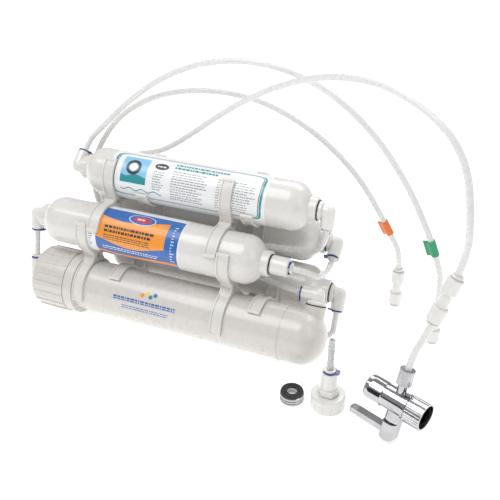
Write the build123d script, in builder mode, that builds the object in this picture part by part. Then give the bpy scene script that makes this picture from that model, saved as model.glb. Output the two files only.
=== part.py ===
"""Five-stage countertop reverse osmosis unit with its tap diverter and hose adapters.

Millimetres, +Z up.  The long axis of every housing runs along X and the unit
stands on the plane Z = 0.
"""

import math
import os

from build123d import *

os.makedirs("parts", exist_ok=True)

# ---------------------------------------------------------------- shared sizes
TUBE_D = 6.35
TUBE_R = TUBE_D / 2
TUBE_BORE_R = 2.1
FIT = 0.1
RUNNING = 0.1

# The origin is the middle of the footprint that the housings and loose adapters share.
CENTRE_X = 17.3
CENTRE_Y = 27.7

# Inline filter, measured between the tips of its domes.
FILTER_R = 26.0
FILTER_L = 266.0
FILTER_DOME = 22.0
FILTER_WALL = 2.2
FILTER_SEAM = FILTER_L - 34.0
SPIGOT_L = 8.0
SPIGOT_T = 1.8
MEDIA_L = 208.0
MEDIA_BORE_R = 5.0

# Threaded neck on every port, and the stem that screws into it.
NECK_R = 13.5
NECK_L = 5.0
STEM_R = 6.0
STEM_L = 7.0
SEAL_T = 1.2
SEAL_IN_R = 7.4
SEAL_OUT_R = 10.8

# Membrane housing, measured from the outer face of its screw cap.
CAP_R = 34.6
CAP_RIB_H = 0.9
CAP_RIB_W = 2.4
CAP_RIBS = 18
CAP_L = 42.0
CAP_WALL = 6.0
HOUSING_R = 29.0
HOUSING_WALL = 3.0
HOUSING_L = 339.0
HOUSING_DOME = 25.0
THREAD_R = 31.2
SPIGOT_START = 10.0
FLANGE_R = 34.0
FLANGE_START = 42.6
FLANGE_END = 53.5
SEAM_RING_AT = 294.0
SEAM_RING_W = 1.4
SEAM_RING_H = 0.6
ORING_START = 14.0
ORING_W = 2.6
ORING_IN_R = 29.4
PORT_BOSS_R = 11.0
PORT_BOSS_H = 5.0

# Spiral-wound element.
ELEMENT_R = 22.85
ELEMENT_START = 18.0
ELEMENT_L = 296.0
CORE_R = 8.5
CORE_BORE_R = 4.0
SOCKET_R = 10.6
SOCKET_START = 315.0
CORE_END = 328.0
BRINE_SEAL_START = 24.0
BRINE_SEAL_L = 6.0

# Push-fit fittings.
BODY_R = 7.4
HEX_R = 10.0
FLANGE_T = 3.8
ELBOW_H = 11.0
ARM = 17.0
STRAIGHT_L = 20.0
WATERWAY_R = 2.0
SOCKET_DEPTH = 12.0
TUBE_SOCKET_R = TUBE_R + FIT
COLLET_R = 4.6
COLLET_DEPTH = 8.0
COLLET_PROUD = 1.7
COLLET_TRAVEL = 1.5
COLLET_FLANGE_T = 1.5
COLLET_FLANGE_R = 5.8
LOCK_T = 1.5
LOCK_R = 6.9

# Pipe clips.
CLIP_W = 13.0
CLIP_T = 2.2
CLIP_RIM_T = 1.1
CLIP_RIM_W = 1.6
CLIP_GAP = 0.35
CLIP_REACH = 106.0
CLIP_LIP_R = 1.9
WEB_WAIST = 7.0
WEB_HOLE_R = 2.8

# Printed sleeves.
LABEL_T = 0.15

# Union between two tubes.
UNION_HALF = 22.0
UNION_COLLAR_L = 15.0
UNION_NECK_R = 5.2

# ------------------------------------------------------------------ placement
# Axis positions (Y, Z) of the five housings; each clipped pair is one clip apart.
MEMBRANE_PITCH = 70.0
FILTER_PITCH = 64.0


def stepped(start, pitch, degrees):
    """Returns the point one pitch away from start, at an angle up from +Y."""
    angle = math.radians(degrees)
    return (start[0] + pitch * math.cos(angle), start[1] + pitch * math.sin(angle))


MEMBRANE = (0.0, CAP_R + CAP_RIB_H)
FRONT = stepped(MEMBRANE, MEMBRANE_PITCH, 75.0)
UPPER = stepped(FRONT, FILTER_PITCH, 50.0)
REAR_UPPER = stepped(UPPER, FILTER_PITCH, -59.0)
REAR_LOWER = stepped(MEMBRANE, MEMBRANE_PITCH, 11.0)

MEMBRANE_X = -158.0
FRONT_X = -158.0
UPPER_X = -123.0
REAR_UPPER_X = -120.0
REAR_LOWER_X = -107.0


def along_x(x, axis):
    """Location at x on a housing's axis, with its own +Z along the object's +X."""
    return Plane(origin=(x, axis[0], axis[1]), x_dir=(0, 1, 0), z_dir=(1, 0, 0)).location


def save(piece, name):
    """Names a finished piece, puts it in the object's frame and writes it."""
    placed = piece.part.moved(Location((-CENTRE_X, -CENTRE_Y, 0)))
    placed.label = name
    export_step(placed, f"parts/{name}.step")


# --------------------------------------------------------------- inline filter
def half_capsule(radius, dome, start, end):
    """Adds half the outline of a domed cylinder between two heights to the sketch."""
    middle = (start + end) / 2
    with Locations((0, start + dome), (0, end - dome)):
        Ellipse(radius, dome)
    with Locations((0, middle)):
        Rectangle(2 * radius, end - start - 2 * dome)
        Rectangle(radius, end - start, align=(Align.MIN, Align.CENTER), mode=Mode.INTERSECT)


with BuildPart() as filter_shell:
    with BuildSketch(Plane.XZ):
        half_capsule(FILTER_R, FILTER_DOME, 0, FILTER_L)
    revolve(axis=Axis.Z)
    with Locations((0, 0, -NECK_L)):
        Cylinder(NECK_R, NECK_L + FILTER_DOME / 2, align=(Align.CENTER, Align.CENTER, Align.MIN))
    fillet(filter_shell.edges().group_by(Axis.Z)[0], 1.0)
    with BuildSketch(Plane.XZ):
        half_capsule(
            FILTER_R - FILTER_WALL,
            FILTER_DOME - FILTER_WALL,
            FILTER_WALL,
            FILTER_L - FILTER_WALL,
        )
    revolve(axis=Axis.Z, mode=Mode.SUBTRACT)
    with Locations((0, 0, -NECK_L)):
        Cylinder(
            STEM_R + FIT,
            NECK_L + FILTER_DOME,
            align=(Align.CENTER, Align.CENTER, Align.MIN),
            mode=Mode.SUBTRACT,
        )
    split(bisect_by=Plane.XY.offset(FILTER_SEAM), keep=Keep.BOTTOM)

with BuildPart() as filter_cap:
    with BuildSketch(Plane.XZ):
        half_capsule(FILTER_R, FILTER_DOME, 0, FILTER_L)
    revolve(axis=Axis.Z)
    with Locations((0, 0, FILTER_L + NECK_L)):
        Cylinder(NECK_R, NECK_L + FILTER_DOME / 2, align=(Align.CENTER, Align.CENTER, Align.MAX))
    fillet(filter_cap.edges().group_by(Axis.Z)[-1], 1.0)
    with BuildSketch(Plane.XZ):
        half_capsule(
            FILTER_R - FILTER_WALL,
            FILTER_DOME - FILTER_WALL,
            FILTER_WALL,
            FILTER_L - FILTER_WALL,
        )
    revolve(axis=Axis.Z, mode=Mode.SUBTRACT)
    with Locations((0, 0, FILTER_L + NECK_L)):
        Cylinder(
            STEM_R + FIT,
            NECK_L + FILTER_DOME,
            align=(Align.CENTER, Align.CENTER, Align.MAX),
            mode=Mode.SUBTRACT,
        )
    split(bisect_by=Plane.XY.offset(FILTER_SEAM), keep=Keep.TOP)
    with BuildSketch(Plane.XY.offset(FILTER_SEAM - SPIGOT_L)):
        Circle(FILTER_R - FILTER_WALL - FIT)
        Circle(FILTER_R - FILTER_WALL - SPIGOT_T, mode=Mode.SUBTRACT)
    extrude(amount=SPIGOT_L)
    with BuildSketch(Plane.XY.offset(FILTER_SEAM)):
        Circle(FILTER_R - FILTER_WALL / 2)
        Circle(FILTER_R - FILTER_WALL - SPIGOT_T, mode=Mode.SUBTRACT)
    extrude(amount=SPIGOT_L / 2)

with BuildPart() as filter_block:
    with Locations((0, 0, FILTER_L / 2)):
        Cylinder(FILTER_R - FILTER_WALL - SPIGOT_T - FIT, MEDIA_L)
        Cylinder(MEDIA_BORE_R, MEDIA_L, mode=Mode.SUBTRACT)

FILTERS = {
    "front_filter": (FRONT_X, FRONT),
    "upper_filter": (UPPER_X, UPPER),
    "rear_upper_filter": (REAR_UPPER_X, REAR_UPPER),
    "rear_lower_filter": (REAR_LOWER_X, REAR_LOWER),
}
for filter_name, (left_x, axis) in FILTERS.items():
    seat = along_x(left_x, axis)
    with BuildPart() as shell:
        with Locations(seat):
            add(filter_shell.part)
    save(shell, f"{filter_name}_shell")
    with BuildPart() as cap:
        with Locations(seat):
            add(filter_cap.part)
    save(cap, f"{filter_name}_cap")
with BuildPart() as filter_media:
    with Locations(*[along_x(left_x, axis) for left_x, axis in FILTERS.values()]):
        add(filter_block.part)
save(filter_media, "filter_media_blocks")


# ---------------------------------------------------------------- printed labels
def label_sleeve(left_x, right_x, axis):
    """Builds a thin printed sleeve glued round a filter shell."""
    with BuildPart() as sleeve:
        with BuildSketch(Plane.YZ.offset(left_x)):
            with Locations(axis):
                Circle(FILTER_R + LABEL_T)
                Circle(FILTER_R, mode=Mode.SUBTRACT)
        extrude(amount=right_x - left_x)
    return sleeve


FRONT_LABEL = (-91.0, 20.0)
UPPER_LABEL = (-84.0, 99.0)
save(label_sleeve(*FRONT_LABEL, FRONT), "front_filter_label")
save(label_sleeve(*UPPER_LABEL, UPPER), "upper_filter_label")

# -------------------------------------------------------------- membrane housing
PERMEATE_ANGLE = 58.0
PERMEATE_X = 163.0
BRINE_ANGLE = -34.0
BRINE_X = 134.0


def radial_seat(x, degrees):
    """Location on a side port's face, +Z pointing out of the housing."""
    angle = math.radians(degrees)
    out = (0.0, math.cos(angle), math.sin(angle))
    reach = HOUSING_R + PORT_BOSS_H
    origin = (x, MEMBRANE[0] + reach * out[1], MEMBRANE[1] + reach * out[2])
    return origin, out


def round_port(piece_radius, depth, height, side, mode=Mode.ADD):
    """Adds or cuts a cylinder along a side port, from depth below its face to height above."""
    origin, out = side
    with Locations(Plane(origin=origin, z_dir=out, x_dir=(1, 0, 0)).location):
        with Locations((0, 0, -depth)):
            Cylinder(
                piece_radius,
                depth + height,
                align=(Align.CENTER, Align.CENTER, Align.MIN),
                mode=mode,
            )


PERMEATE_SIDE = radial_seat(PERMEATE_X, PERMEATE_ANGLE)
BRINE_SIDE = radial_seat(BRINE_X, BRINE_ANGLE)

with BuildPart() as housing_local:
    with BuildSketch(Plane.XZ):
        with Locations((0, HOUSING_L - HOUSING_DOME)):
            Ellipse(HOUSING_R, HOUSING_DOME)
        with Locations((0, SPIGOT_START)):
            Rectangle(
                2 * HOUSING_R,
                HOUSING_L - HOUSING_DOME - SPIGOT_START,
                align=(Align.CENTER, Align.MIN),
            )
            Rectangle(
                HOUSING_R,
                HOUSING_L,
                align=(Align.MIN, Align.MIN),
                mode=Mode.INTERSECT,
            )
            Rectangle(THREAD_R, FLANGE_START - SPIGOT_START, align=(Align.MIN, Align.MIN))
        with Locations((0, FLANGE_START)):
            Rectangle(FLANGE_R, FLANGE_END - FLANGE_START, align=(Align.MIN, Align.MIN))
        with Locations((0, SEAM_RING_AT)):
            Rectangle(HOUSING_R + SEAM_RING_H, SEAM_RING_W, align=(Align.MIN, Align.CENTER))
    revolve(axis=Axis.Z)

with BuildPart() as membrane_housing:
    with Locations(along_x(MEMBRANE_X, MEMBRANE)):
        add(housing_local.part)
    for side in (PERMEATE_SIDE, BRINE_SIDE):
        round_port(PORT_BOSS_R, PORT_BOSS_H + HOUSING_WALL + 8.0, 0, side)
    with BuildSketch(Plane.XZ.offset(-MEMBRANE[0])):
        with Locations((MEMBRANE_X + HOUSING_L - HOUSING_DOME, MEMBRANE[1])):
            Ellipse(HOUSING_DOME - HOUSING_WALL, HOUSING_R - HOUSING_WALL)
        with Locations((MEMBRANE_X, MEMBRANE[1])):
            Rectangle(
                HOUSING_L - HOUSING_DOME,
                2 * (HOUSING_R - HOUSING_WALL),
                align=(Align.MIN, Align.CENTER),
            )
            Rectangle(
                HOUSING_L,
                HOUSING_R,
                align=(Align.MIN, Align.MIN),
                mode=Mode.INTERSECT,
            )
        with Locations((MEMBRANE_X + SOCKET_START, MEMBRANE[1] + CORE_R + FIT)):
            Rectangle(
                HOUSING_L,
                SOCKET_R - CORE_R - FIT,
                align=(Align.MIN, Align.MIN),
                mode=Mode.SUBTRACT,
            )
    revolve(axis=Axis(origin=(0, *MEMBRANE), direction=(1, 0, 0)), mode=Mode.SUBTRACT)
    with BuildSketch(Plane.YZ.offset(MEMBRANE_X + ORING_START)):
        with Locations(MEMBRANE):
            Circle(THREAD_R + FIT)
            Circle(ORING_IN_R, mode=Mode.SUBTRACT)
    extrude(amount=ORING_W, mode=Mode.SUBTRACT)
    for side in (PERMEATE_SIDE, BRINE_SIDE):
        round_port(STEM_R + FIT, PORT_BOSS_H + HOUSING_WALL + 5.0, 0, side, Mode.SUBTRACT)
save(membrane_housing, "membrane_housing")

with BuildPart() as cap_local:
    Cylinder(CAP_R, CAP_L, align=(Align.CENTER, Align.CENTER, Align.MIN))
    fillet(cap_local.edges().group_by(Axis.Z)[0], 5.0)
    with Locations((0, 0, CAP_RIB_W * 2)):
        with PolarLocations(CAP_R - CAP_RIB_H, CAP_RIBS):
            Box(
                2 * CAP_RIB_H + CAP_RIB_H,
                CAP_RIB_W,
                CAP_L - CAP_RIB_W * 3,
                align=(Align.MIN, Align.CENTER, Align.MIN),
            )
    with BuildSketch(Plane.XY):
        Circle(CAP_R + CAP_RIB_H)
    extrude(amount=CAP_L, mode=Mode.INTERSECT)
    Cylinder(NECK_R, NECK_L, align=(Align.CENTER, Align.CENTER, Align.MAX))
    with Locations((0, 0, CAP_WALL)):
        Cylinder(
            THREAD_R + FIT + RUNNING,
            CAP_L,
            align=(Align.CENTER, Align.CENTER, Align.MIN),
            mode=Mode.SUBTRACT,
        )
    with Locations((0, 0, -NECK_L)):
        Cylinder(
            STEM_R + FIT,
            NECK_L + CAP_WALL,
            align=(Align.CENTER, Align.CENTER, Align.MIN),
            mode=Mode.SUBTRACT,
        )
with BuildPart() as membrane_cap:
    with Locations(along_x(MEMBRANE_X, MEMBRANE)):
        add(cap_local.part)
save(membrane_cap, "membrane_cap")

with BuildPart() as cap_oring:
    with BuildSketch(Plane.YZ.offset(MEMBRANE_X + ORING_START)):
        with Locations(MEMBRANE):
            Circle(THREAD_R + FIT)
            Circle(ORING_IN_R, mode=Mode.SUBTRACT)
    extrude(amount=ORING_W)
save(cap_oring, "membrane_cap_oring")

with BuildPart() as membrane_element:
    with BuildSketch(Plane.YZ.offset(MEMBRANE_X + ELEMENT_START)):
        with Locations(MEMBRANE):
            Circle(ELEMENT_R)
    extrude(amount=ELEMENT_L)
    with BuildSketch(Plane.YZ.offset(MEMBRANE_X + ELEMENT_START)):
        with Locations(MEMBRANE):
            Circle(CORE_R)
    extrude(amount=CORE_END - ELEMENT_START)
    with BuildSketch(Plane.YZ.offset(MEMBRANE_X + ELEMENT_START + CAP_WALL)):
        with Locations(MEMBRANE):
            Circle(CORE_BORE_R)
    extrude(amount=CORE_END, mode=Mode.SUBTRACT)
save(membrane_element, "membrane_element")

with BuildPart() as brine_seal:
    with BuildSketch(Plane.YZ.offset(MEMBRANE_X + BRINE_SEAL_START)):
        with Locations(MEMBRANE):
            Circle(HOUSING_R - HOUSING_WALL - FIT / 2)
            Circle(ELEMENT_R, mode=Mode.SUBTRACT)
    extrude(amount=BRINE_SEAL_L)
save(brine_seal, "membrane_brine_seal")


# -------------------------------------------------------------- push-fit fittings
def mouth_recess():
    """Cuts the tube socket and the collet's counterbore, with room to press the collet in."""
    Cylinder(
        TUBE_SOCKET_R,
        SOCKET_DEPTH,
        align=(Align.CENTER, Align.CENTER, Align.MAX),
        mode=Mode.SUBTRACT,
    )
    Cylinder(
        COLLET_R + FIT,
        COLLET_DEPTH + COLLET_TRAVEL,
        align=(Align.CENTER, Align.CENTER, Align.MAX),
        mode=Mode.SUBTRACT,
    )


ELBOW_MOUTH = Location((ARM, 0, ELBOW_H), (0, 90, 0))
STRAIGHT_MOUTH = Location((0, 0, STRAIGHT_L))

with BuildPart() as elbow:
    with Locations((0, 0, -STEM_L)):
        Cylinder(STEM_R, STEM_L + SEAL_T, align=(Align.CENTER, Align.CENTER, Align.MIN))
    with Locations((0, 0, SEAL_T)):
        Cylinder(HEX_R, FLANGE_T, align=(Align.CENTER, Align.CENTER, Align.MIN))
    chamfer(elbow.edges().group_by(Axis.Z)[-1], 0.8)
    with Locations((0, 0, SEAL_T)):
        Cylinder(BODY_R, ELBOW_H - SEAL_T, align=(Align.CENTER, Align.CENTER, Align.MIN))
    with Locations((0, 0, ELBOW_H)):
        Sphere(BODY_R)
        Cylinder(
            BODY_R,
            ARM,
            rotation=(0, 90, 0),
            align=(Align.CENTER, Align.CENTER, Align.MIN),
        )
    chamfer(elbow.edges().filter_by(GeomType.CIRCLE).group_by(Axis.X)[-1], 0.7)
    with Locations((0, 0, -STEM_L)):
        Cylinder(
            WATERWAY_R,
            STEM_L + ELBOW_H,
            align=(Align.CENTER, Align.CENTER, Align.MIN),
            mode=Mode.SUBTRACT,
        )
    with Locations((0, 0, ELBOW_H)):
        Cylinder(
            WATERWAY_R,
            ARM,
            rotation=(0, 90, 0),
            align=(Align.CENTER, Align.CENTER, Align.MIN),
            mode=Mode.SUBTRACT,
        )
    with Locations(ELBOW_MOUTH):
        mouth_recess()

with BuildPart() as straight:
    with Locations((0, 0, -STEM_L)):
        Cylinder(STEM_R, STEM_L + SEAL_T, align=(Align.CENTER, Align.CENTER, Align.MIN))
    with Locations((0, 0, SEAL_T)):
        Cylinder(HEX_R, STRAIGHT_L - SEAL_T, align=(Align.CENTER, Align.CENTER, Align.MIN))
    chamfer(straight.edges().group_by(Axis.Z)[-1], 1.2)
    with Locations((0, 0, -STEM_L)):
        Cylinder(
            WATERWAY_R,
            STEM_L + STRAIGHT_L,
            align=(Align.CENTER, Align.CENTER, Align.MIN),
            mode=Mode.SUBTRACT,
        )
    with Locations(STRAIGHT_MOUTH):
        mouth_recess()

with BuildPart() as seal:
    Cylinder(SEAL_OUT_R, SEAL_T, align=(Align.CENTER, Align.CENTER, Align.MIN))
    Cylinder(
        SEAL_IN_R,
        SEAL_T,
        align=(Align.CENTER, Align.CENTER, Align.MIN),
        mode=Mode.SUBTRACT,
    )

with BuildPart() as collet:
    with Locations((0, 0, -COLLET_DEPTH)):
        Cylinder(
            COLLET_R,
            COLLET_DEPTH + COLLET_PROUD,
            align=(Align.CENTER, Align.CENTER, Align.MIN),
        )
    with Locations((0, 0, COLLET_PROUD)):
        Cylinder(
            COLLET_FLANGE_R,
            COLLET_FLANGE_T,
            align=(Align.CENTER, Align.CENTER, Align.MIN),
        )
    fillet(collet.edges().group_by(Axis.Z)[-1], 0.6)
    Cylinder(TUBE_SOCKET_R, 4 * COLLET_DEPTH, mode=Mode.SUBTRACT)

with BuildPart() as locking_clip:
    with BuildSketch(Plane.XY.offset((COLLET_PROUD - LOCK_T) / 2)):
        Circle(LOCK_R)
        with Locations((LOCK_R, 0)):
            RectangleRounded(LOCK_R * 0.9, LOCK_R * 0.9, 1.0)
        Circle(COLLET_R + FIT, mode=Mode.SUBTRACT)
        with Locations((-LOCK_R, 0)):
            Rectangle(2 * LOCK_R, 1.6 * COLLET_R, mode=Mode.SUBTRACT)
    extrude(amount=LOCK_T)


def tip(axis, x, outward, arm_degrees):
    """Location of an end port's neck face; its +X is the way the elbow's arm points."""
    angle = math.radians(arm_degrees)
    return Plane(
        origin=(x, axis[0], axis[1]),
        x_dir=(0, math.cos(angle), math.sin(angle)),
        z_dir=(outward, 0, 0),
    ).location


def left_tip(axis, left_x, arm_degrees):
    """Neck face at the left end of a housing."""
    return tip(axis, left_x - NECK_L, -1, arm_degrees)


def right_tip(axis, left_x, arm_degrees):
    """Neck face at the right end of an inline filter."""
    return tip(axis, left_x + FILTER_L + NECK_L, 1, arm_degrees)


def side_tip(side, arm_x):
    """Face of a side port on the membrane housing, its elbow's arm along X."""
    origin, out = side
    return Plane(origin=origin, x_dir=(arm_x, 0, 0), z_dir=out).location


CAP_SEAT = left_tip(MEMBRANE, MEMBRANE_X, 75.0)
FRONT_LEFT = left_tip(FRONT, FRONT_X, -105.0)
UPPER_LEFT = left_tip(UPPER, UPPER_X, 38.0)
REAR_UPPER_LEFT = left_tip(REAR_UPPER, REAR_UPPER_X, 55.0)
REAR_LOWER_LEFT = left_tip(REAR_LOWER, REAR_LOWER_X, 80.0)
FRONT_RIGHT = right_tip(FRONT, FRONT_X, 0.0)
UPPER_RIGHT = right_tip(UPPER, UPPER_X, -103.0)
REAR_UPPER_RIGHT = right_tip(REAR_UPPER, REAR_UPPER_X, 212.0)
REAR_LOWER_RIGHT = right_tip(REAR_LOWER, REAR_LOWER_X, -118.0)
PERMEATE_SEAT = side_tip(PERMEATE_SIDE, -1)
BRINE_SEAT = side_tip(BRINE_SIDE, 1)

LEFT_ELBOWS = [CAP_SEAT, FRONT_LEFT, UPPER_LEFT, REAR_UPPER_LEFT, REAR_LOWER_LEFT]
RIGHT_ELBOWS = [UPPER_RIGHT, REAR_UPPER_RIGHT, REAR_LOWER_RIGHT]
SIDE_ELBOWS = [PERMEATE_SEAT, BRINE_SEAT]
ALL_ELBOWS = [*LEFT_ELBOWS, *RIGHT_ELBOWS, *SIDE_ELBOWS]


def group(piece, seats):
    """Builds one node from copies of a piece at each of the given places."""
    with BuildPart() as copies:
        with Locations(*seats):
            add(piece.part)
    return copies


save(group(elbow, LEFT_ELBOWS), "left_end_elbows")
save(group(elbow, [*RIGHT_ELBOWS, *SIDE_ELBOWS]), "right_end_elbows")
save(group(straight, [FRONT_RIGHT]), "front_filter_connector")
save(group(seal, [*ALL_ELBOWS, FRONT_RIGHT]), "port_seals")

ELBOW_MOUTHS = [seat * ELBOW_MOUTH for seat in ALL_ELBOWS]
CONNECTOR_MOUTH = FRONT_RIGHT * STRAIGHT_MOUTH
MOUTHS = [*ELBOW_MOUTHS, CONNECTOR_MOUTH]
save(group(collet, MOUTHS), "port_collets")
UNLOCKED = UPPER_RIGHT * ELBOW_MOUTH
save(group(locking_clip, [m for m in MOUTHS if m.position != UNLOCKED.position]), "locking_clips")


# -------------------------------------------------------------------- pipe clips
def jaw(centre_v, toward, radius, extra):
    """Draws one C-shaped ring of a clip, its opening facing along toward (+1 or -1 in V)."""
    inner = radius + CLIP_GAP
    outer = inner + CLIP_T + extra
    far = 3 * outer
    half = math.radians(180 - CLIP_REACH)
    with BuildSketch(mode=Mode.PRIVATE) as ring:
        with Locations((0, centre_v)):
            Circle(outer)
            Circle(inner, mode=Mode.SUBTRACT)
            with BuildLine(mode=Mode.PRIVATE) as opening:
                Polyline(
                    (0, 0),
                    (far * math.sin(half), toward * far * math.cos(half)),
                    (0, toward * 2 * far),
                    (-far * math.sin(half), toward * far * math.cos(half)),
                    close=True,
                )
            add(make_face(opening.edges(), mode=Mode.PRIVATE), mode=Mode.SUBTRACT)
            lip = inner + CLIP_LIP_R
            for side in (-1, 1):
                with Locations((side * lip * math.sin(half), toward * lip * math.cos(half))):
                    Circle(CLIP_LIP_R)
    return ring


def clip_profile(first_r, second_r, pitch, extra):
    """Adds the outline of a double clip, first ring at the origin, second at +pitch."""
    low = first_r + CLIP_GAP
    high = pitch - second_r - CLIP_GAP
    waist = (low + high) / 2
    add(jaw(0, -1, first_r, extra).sketch)
    add(jaw(pitch, 1, second_r, extra).sketch)
    with BuildLine(mode=Mode.PRIVATE) as web:
        Polyline(
            (-first_r * 0.55, low * 0.86),
            (-WEB_WAIST - extra, waist),
            (-second_r * 0.55, pitch - second_r * 0.86),
            (second_r * 0.55, pitch - second_r * 0.86),
            (WEB_WAIST + extra, waist),
            (first_r * 0.55, low * 0.86),
            close=True,
        )
    add(make_face(web.edges(), mode=Mode.PRIVATE))
    Circle(first_r + CLIP_GAP, mode=Mode.SUBTRACT)
    with Locations((0, pitch)):
        Circle(second_r + CLIP_GAP, mode=Mode.SUBTRACT)
    with Locations((0, waist)):
        Circle(WEB_HOLE_R, mode=Mode.SUBTRACT)


def double_clip(first_r, second_r, pitch):
    """Builds one double clip in its own plane, centred on its width."""
    with BuildPart() as clip:
        with BuildSketch(Plane.XY.offset(-CLIP_W / 2)):
            clip_profile(first_r, second_r, pitch, 0)
        extrude(amount=CLIP_W)
        for rim in (-CLIP_W / 2, CLIP_W / 2 - CLIP_RIM_W):
            with BuildSketch(Plane.XY.offset(rim)):
                clip_profile(first_r, second_r, pitch, CLIP_RIM_T)
            extrude(amount=CLIP_RIM_W)
    return clip


def clip_seat(x, first, second):
    """Location of a clip across the housings, its +Y from the first axis to the second."""
    angle = math.atan2(second[1] - first[1], second[0] - first[0])
    return Plane(
        origin=(x, first[0], first[1]),
        x_dir=(0, math.sin(angle), -math.cos(angle)),
        z_dir=(1, 0, 0),
    ).location


membrane_clip = double_clip(HOUSING_R, FILTER_R, MEMBRANE_PITCH)
filter_clip = double_clip(FILTER_R, FILTER_R, FILTER_PITCH)
CLIPS = {
    "front_pair_clips": (membrane_clip, MEMBRANE, FRONT, (-97.5, 70.0)),
    "upper_pair_clips": (filter_clip, FRONT, UPPER, (-83.0, 56.0)),
    "rear_upper_clips": (filter_clip, UPPER, REAR_UPPER, (-42.0, 80.0)),
    "rear_lower_clips": (membrane_clip, MEMBRANE, REAR_LOWER, (-57.0, 107.0)),
}
for clip_name, (clip, first, second, places) in CLIPS.items():
    save(group(clip, [clip_seat(x, first, second) for x in places]), clip_name)

# Two feet under the rear lower filter keep the stack from rolling back.
FOOT_W = 12.0
FOOT_BASE = 44.0
FOOT_T = 3.0
FOOT_CRADLE = 0.35
FOOT_X = (-73.0, 84.0)
with BuildPart() as rear_feet:
    for x in FOOT_X:
        with BuildSketch(Plane.YZ.offset(x - FOOT_W / 2)):
            with Locations(REAR_LOWER):
                Circle(FILTER_R + FOOT_T)
            with Locations((REAR_LOWER[0], 0)):
                Rectangle(FOOT_BASE, REAR_LOWER[1], align=(Align.CENTER, Align.MIN))
            with Locations((REAR_LOWER[0], REAR_LOWER[1] - FILTER_R * FOOT_CRADLE)):
                Rectangle(
                    FOOT_BASE * 2,
                    FILTER_R * 3,
                    align=(Align.CENTER, Align.MIN),
                    mode=Mode.SUBTRACT,
                )
            with Locations(REAR_LOWER):
                Circle(FILTER_R, mode=Mode.SUBTRACT)
        extrude(amount=FOOT_W)
save(rear_feet, "rear_feet")


# ------------------------------------------------------------------------- tubes
def rounded_path(points):
    """Returns a path of straight runs joined by arcs as large as the runs allow."""
    radii = []
    for before, corner, after in zip(points, points[1:], points[2:]):
        into = corner - before
        out = after - corner
        turn = math.radians(into.get_angle(out))
        radii.append(0.45 * min(into.length, out.length) / math.tan(turn / 2))
    with BuildLine() as path:
        FilletPolyline(*points, radius=radii)
    return path, radii


def tube(name, points, bore_r=0.0):
    """Builds one tube along its route, writes it, and prints its arcs and length."""
    path, radii = rounded_path([Vector(*p) for p in points])
    route = path.wire()
    with BuildPart() as piece:
        add(route)
        with BuildSketch(Plane(origin=route @ 0, z_dir=route % 0)):
            Circle(TUBE_R)
            if bore_r:
                Circle(bore_r, mode=Mode.SUBTRACT)
        sweep(path=route)
    section = math.pi * (TUBE_R**2 - bore_r**2)
    share = piece.part.volume / (section * route.length)
    print(name, "length", round(route.length, 1), "volume share", round(share, 4))
    print("  arc radii", [round(r, 1) for r in radii])
    save(piece, name)


def inside(mouth):
    """Point at the bottom of a tube socket."""
    return (mouth * Location((0, 0, -SOCKET_DEPTH))).position


def outside(mouth, distance):
    """Point straight out of a tube socket."""
    return (mouth * Location((0, 0, distance))).position


CAP_MOUTH = CAP_SEAT * ELBOW_MOUTH
FRONT_LEFT_MOUTH = FRONT_LEFT * ELBOW_MOUTH
UPPER_LEFT_MOUTH = UPPER_LEFT * ELBOW_MOUTH
REAR_UPPER_LEFT_MOUTH = REAR_UPPER_LEFT * ELBOW_MOUTH
REAR_LOWER_LEFT_MOUTH = REAR_LOWER_LEFT * ELBOW_MOUTH
UPPER_RIGHT_MOUTH = UPPER_RIGHT * ELBOW_MOUTH
REAR_UPPER_RIGHT_MOUTH = REAR_UPPER_RIGHT * ELBOW_MOUTH
REAR_LOWER_RIGHT_MOUTH = REAR_LOWER_RIGHT * ELBOW_MOUTH
PERMEATE_MOUTH = PERMEATE_SEAT * ELBOW_MOUTH
BRINE_MOUTH = BRINE_SEAT * ELBOW_MOUTH

# Feed link: front filter down to the membrane cap, dead straight.
with BuildPart() as feed_link:
    straight_link = Plane(
        origin=inside(FRONT_LEFT_MOUTH),
        z_dir=inside(CAP_MOUTH) - inside(FRONT_LEFT_MOUTH),
    )
    with BuildSketch(straight_link):
        Circle(TUBE_R)
        Circle(TUBE_BORE_R, mode=Mode.SUBTRACT)
    extrude(amount=(inside(CAP_MOUTH) - inside(FRONT_LEFT_MOUTH)).length)
save(feed_link, "link_tube_front_to_membrane")

tube(
    "link_tube_rear_to_front",
    [
        inside(CONNECTOR_MOUTH),
        outside(CONNECTOR_MOUTH, 14),
        (160, 30, 90),
        outside(REAR_UPPER_RIGHT_MOUTH, 15),
        inside(REAR_UPPER_RIGHT_MOUTH),
    ],
    TUBE_BORE_R,
)
tube(
    "link_tube_permeate",
    [
        inside(UPPER_RIGHT_MOUTH),
        outside(UPPER_RIGHT_MOUTH, 15),
        (150, 55, 106),
        (120, 57, 100),
        (82, 57, 98),
        (82, 36, 73),
        (116, 31, 72),
        outside(PERMEATE_MOUTH, 14),
        inside(PERMEATE_MOUTH),
    ],
    TUBE_BORE_R,
)
tube(
    "link_tube_brine",
    [
        inside(REAR_LOWER_RIGHT_MOUTH),
        outside(REAR_LOWER_RIGHT_MOUTH, 9),
        (176, 45, 11),
        outside(BRINE_MOUTH, 13),
        inside(BRINE_MOUTH),
    ],
    TUBE_BORE_R,
)

# Unions: the outlet and drain unions stand on their free ends, the feed union hangs.
UNION_STAND = UNION_HALF + COLLET_PROUD + COLLET_FLANGE_T + 0.3
PRODUCT_UNION = Location((277, 88, UNION_STAND))
DRAIN_UNION = Location((224, 142, UNION_STAND))
FEED_UNION = Plane(origin=(290.7, -36, 142), z_dir=(11, 8, 38)).location

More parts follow.
